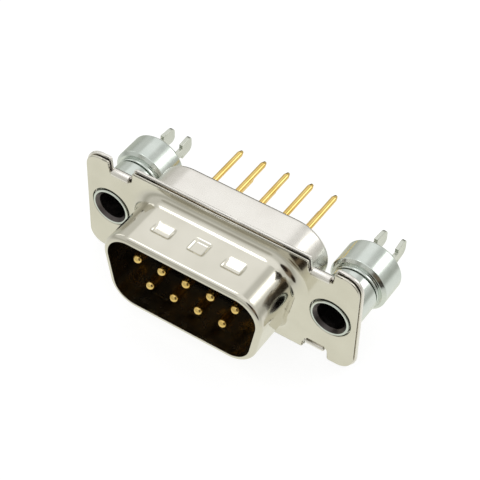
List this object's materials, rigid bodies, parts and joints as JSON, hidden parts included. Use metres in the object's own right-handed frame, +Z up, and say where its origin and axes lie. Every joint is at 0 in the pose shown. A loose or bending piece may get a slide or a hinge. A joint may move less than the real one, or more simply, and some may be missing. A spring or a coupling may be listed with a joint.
{
  "type": "d-sub connector",
  "caption": "Board-mount d-sub plug: D-shaped metal shell with mating pins, flange with threaded screw holes, round spacers with board locks, and straight gold tails.",
  "frame": {"origin": "centre of the flange's front face, midway between the two screw holes", "axes": "+X to the right seen from the mating side, along the flange; +Y back towards the circuit board, along the contacts; +Z up, towards the wide row of contacts"},
  "size_m": [0.031, 0.0186, 0.0122],
  "materials": {
    "nose_plating": "bright nickel-plated drawn steel, smooth and mirror-like with a warm tint",
    "cup_plating": "plated drawn steel, satin, a little grainy",
    "insulator_black": "black glass-filled moulding",
    "contact_gold": "gold-flashed turned brass, bright",
    "insert_zinc": "turned steel, pale zinc plating with fine turning marks",
    "spacer_zinc": "turned steel, pale zinc plating with fine turning marks",
    "lock_tin": "tin-plated spring bronze, dull silver"
  },
  "bodies": {
    "root": {"front_shell": "nose_plating", "rear_shell": "cup_plating", "front_insulator": "insulator_black", "rear_insulator": "insulator_black", "contact_1": "contact_gold", "contact_2": "contact_gold", "contact_3": "contact_gold", "contact_4": "contact_gold", "contact_5": "contact_gold", "contact_6": "contact_gold", "contact_7": "contact_gold", "contact_8": "contact_gold", "contact_9": "contact_gold", "threaded_insert_left": "insert_zinc", "threaded_insert_right": "insert_zinc", "spacer_left": "spacer_zinc", "spacer_right": "spacer_zinc", "board_lock_left": "lock_tin", "board_lock_right": "lock_tin"}
  },
  "joints": []
}
